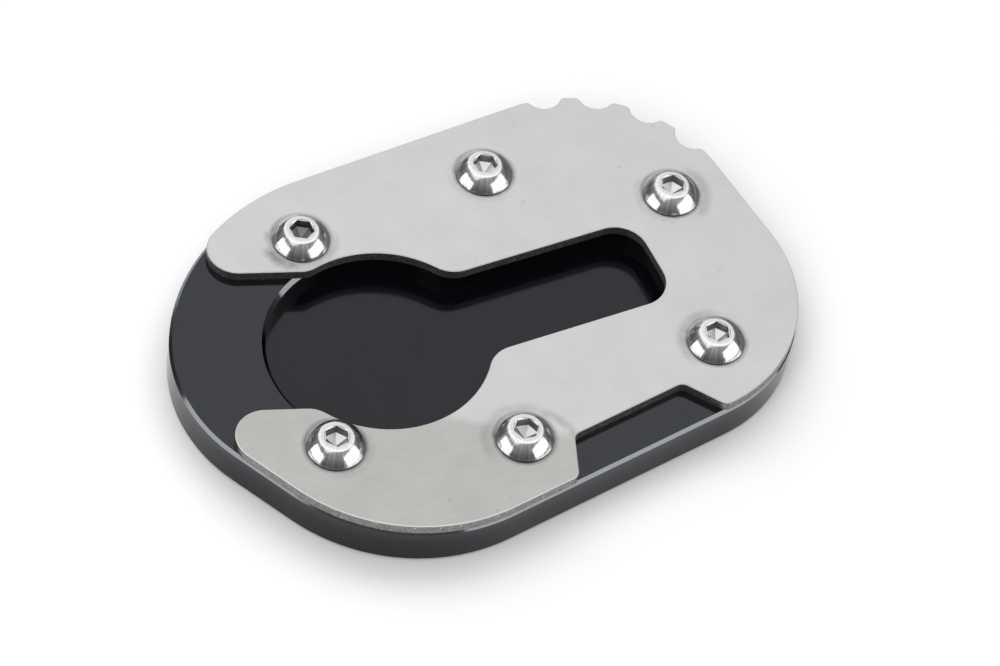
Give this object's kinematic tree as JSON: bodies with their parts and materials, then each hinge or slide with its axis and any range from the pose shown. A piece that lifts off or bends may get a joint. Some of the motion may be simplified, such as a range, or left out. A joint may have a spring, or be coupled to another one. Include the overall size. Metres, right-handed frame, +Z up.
{
  "type": "side stand foot enlarger",
  "caption": "Motorbike side stand foot enlarger: thick chamfered block with a keyhole pocket, thin clamp plate with an open mouth and toothed corner, button-head clamp screws.",
  "frame": {"origin": "on the ground, on the axis of the round pocket that takes the stand's foot", "axes": "+X along the slot towards its closed end, +Y towards the toothed side, +Z up to the screw heads"},
  "size_m": [0.1143, 0.0824, 0.0128],
  "materials": {
    "black_anodised": "satin black anodised",
    "brushed_stainless": "fine brushed satin",
    "polished_stainless": "polished"
  },
  "bodies": {
    "root": {"base_plate": "black_anodised", "clamp_plate": "brushed_stainless", "clamp_screw_1": "polished_stainless", "clamp_screw_2": "polished_stainless", "clamp_screw_3": "polished_stainless", "clamp_screw_4": "polished_stainless", "clamp_screw_5": "polished_stainless", "clamp_screw_6": "polished_stainless"}
  },
  "joints": []
}
